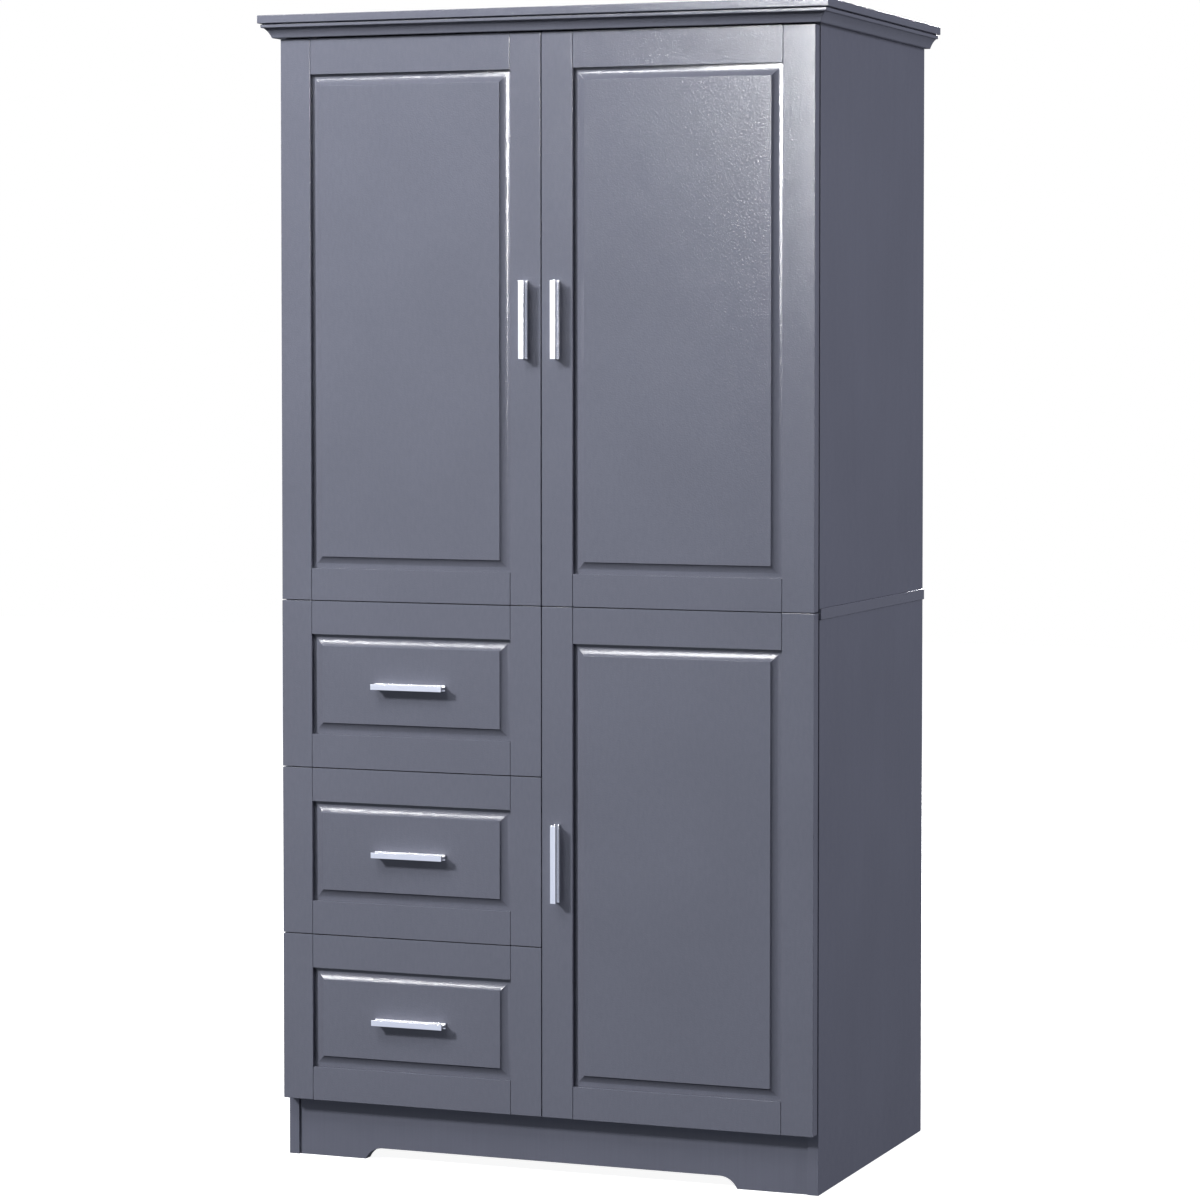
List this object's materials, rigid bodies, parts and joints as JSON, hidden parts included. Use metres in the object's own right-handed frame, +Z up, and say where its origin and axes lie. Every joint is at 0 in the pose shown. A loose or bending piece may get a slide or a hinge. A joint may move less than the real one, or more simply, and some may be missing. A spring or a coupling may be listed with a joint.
{
  "type": "pantry cabinet",
  "caption": "Tall free-standing pantry cabinet with framed raised-panel doors and drawers, bar handles, a moulded crown and an arched plinth.",
  "frame": {"origin": "on the floor, under the middle of the cabinet's box", "axes": "+Z up, the doors and drawers face -Y, +X is the right-hand side seen from the front"},
  "size_m": [0.828, 0.498, 1.58],
  "materials": {
    "painted_fronts": "satin blue-grey paint on fibreboard with a fine orange peel",
    "painted_carcase": "satin blue-grey paint on board",
    "back_board": "thin hardboard, painted inside, plain behind",
    "drawer_board": "satin blue-grey laminated board",
    "handle_metal": "bright satin bar",
    "hinge_nickel": "nickel-plated pressed steel",
    "hardware_steel": "zinc-plated steel",
    "cam_zinc": "die-cast zinc"
  },
  "bodies": {
    "carcase": {"lower_side_left": "painted_carcase", "lower_side_right": "painted_carcase", "upper_side_left": "painted_carcase", "upper_side_right": "painted_carcase", "divider": "painted_carcase", "bottom_board": "painted_carcase", "middle_board": "painted_fronts", "top_board": "painted_fronts", "crown_front": "painted_fronts", "crown_left": "painted_fronts", "crown_right": "painted_fronts", "lower_back": "back_board", "upper_back": "back_board", "plinth": "painted_carcase", "lower_shelf": "painted_carcase", "upper_shelf_low": "painted_carcase", "upper_shelf_high": "painted_carcase", "shelf_pins": "hardware_steel", "cam_locks": "cam_zinc", "hinge_arms": "hinge_nickel", "runner_outers": "hardware_steel"},
    "upper_left_door": {"upper_left_frame": "painted_fronts", "upper_left_panel": "painted_fronts", "upper_left_handle": "handle_metal", "upper_left_cups": "hinge_nickel"},
    "upper_left_hinge_links": {"upper_left_links": "hinge_nickel"},
    "upper_right_door": {"upper_right_frame": "painted_fronts", "upper_right_panel": "painted_fronts", "upper_right_handle": "handle_metal", "upper_right_cups": "hinge_nickel"},
    "upper_right_hinge_links": {"upper_right_links": "hinge_nickel"},
    "lower_right_door": {"lower_right_frame": "painted_fronts", "lower_right_panel": "painted_fronts", "lower_right_handle": "handle_metal", "lower_right_cups": "hinge_nickel"},
    "lower_right_hinge_links": {"lower_right_links": "hinge_nickel"},
    "drawer_top": {"drawer_top_frame": "painted_fronts", "drawer_top_panel": "painted_fronts", "drawer_top_handle": "handle_metal", "drawer_top_sides": "drawer_board", "drawer_top_ends": "drawer_board", "drawer_top_base": "drawer_board", "drawer_top_runners": "hardware_steel"},
    "drawer_top_middle_runners": {"drawer_top_middles": "hardware_steel"},
    "drawer_mid": {"drawer_mid_frame": "painted_fronts", "drawer_mid_panel": "painted_fronts", "drawer_mid_handle": "handle_metal", "drawer_mid_sides": "drawer_board", "drawer_mid_ends": "drawer_board", "drawer_mid_base": "drawer_board", "drawer_mid_runners": "hardware_steel"},
    "drawer_mid_middle_runners": {"drawer_mid_middles": "hardware_steel"},
    "drawer_low": {"drawer_low_frame": "painted_fronts", "drawer_low_panel": "painted_fronts", "drawer_low_handle": "handle_metal", "drawer_low_sides": "drawer_board", "drawer_low_ends": "drawer_board", "drawer_low_base": "drawer_board", "drawer_low_runners": "hardware_steel"},
    "drawer_low_middle_runners": {"drawer_low_middles": "hardware_steel"}
  },
  "joints": [
    {"name": "upper_left_door_hinge", "type": "hinge", "parent": "carcase", "child": "upper_left_door", "pos_m": [-0.384, -0.222, 1.1625], "axis": [0, 0, -1], "range_deg": [0, 95]},
    {"name": "upper_left_links_slide", "type": "slide", "parent": "carcase", "child": "upper_left_hinge_links", "axis": [0, -1, 0], "range_m": [0, 0.0182]},
    {"name": "upper_right_door_hinge", "type": "hinge", "parent": "carcase", "child": "upper_right_door", "pos_m": [0.384, -0.222, 1.1625], "axis": [0, 0, 1], "range_deg": [0, 95]},
    {"name": "upper_right_links_slide", "type": "slide", "parent": "carcase", "child": "upper_right_hinge_links", "axis": [0, -1, 0], "range_m": [0, 0.0182]},
    {"name": "lower_right_door_hinge", "type": "hinge", "parent": "carcase", "child": "lower_right_door", "pos_m": [0.384, -0.222, 0.42825], "axis": [0, 0, 1], "range_deg": [0, 95]},
    {"name": "lower_right_links_slide", "type": "slide", "parent": "carcase", "child": "lower_right_hinge_links", "axis": [0, -1, 0], "range_m": [0, 0.0182]},
    {"name": "drawer_top_slide", "type": "slide", "parent": "carcase", "child": "drawer_top", "axis": [0, -1, 0], "range_m": [0, 0.35]},
    {"name": "drawer_top_middle_slide", "type": "slide", "parent": "carcase", "child": "drawer_top_middle_runners", "axis": [0, -1, 0], "range_m": [0, 0.176]},
    {"name": "drawer_mid_slide", "type": "slide", "parent": "carcase", "child": "drawer_mid", "axis": [0, -1, 0], "range_m": [0, 0.35]},
    {"name": "drawer_mid_middle_slide", "type": "slide", "parent": "carcase", "child": "drawer_mid_middle_runners", "axis": [0, -1, 0], "range_m": [0, 0.176]},
    {"name": "drawer_low_slide", "type": "slide", "parent": "carcase", "child": "drawer_low", "axis": [0, -1, 0], "range_m": [0, 0.35]},
    {"name": "drawer_low_middle_slide", "type": "slide", "parent": "carcase", "child": "drawer_low_middle_runners", "axis": [0, -1, 0], "range_m": [0, 0.176]}
  ],
  "couplings": [
    {"joint": "upper_left_links_slide", "follows": "upper_left_door_hinge", "m_per_rad": 0.010856},
    {"joint": "upper_right_links_slide", "follows": "upper_right_door_hinge", "m_per_rad": 0.010856},
    {"joint": "lower_right_links_slide", "follows": "lower_right_door_hinge", "m_per_rad": 0.010856},
    {"joint": "drawer_top_middle_slide", "follows": "drawer_top_slide", "ratio": 0.5},
    {"joint": "drawer_mid_middle_slide", "follows": "drawer_mid_slide", "ratio": 0.5},
    {"joint": "drawer_low_middle_slide", "follows": "drawer_low_slide", "ratio": 0.5}
  ]
}
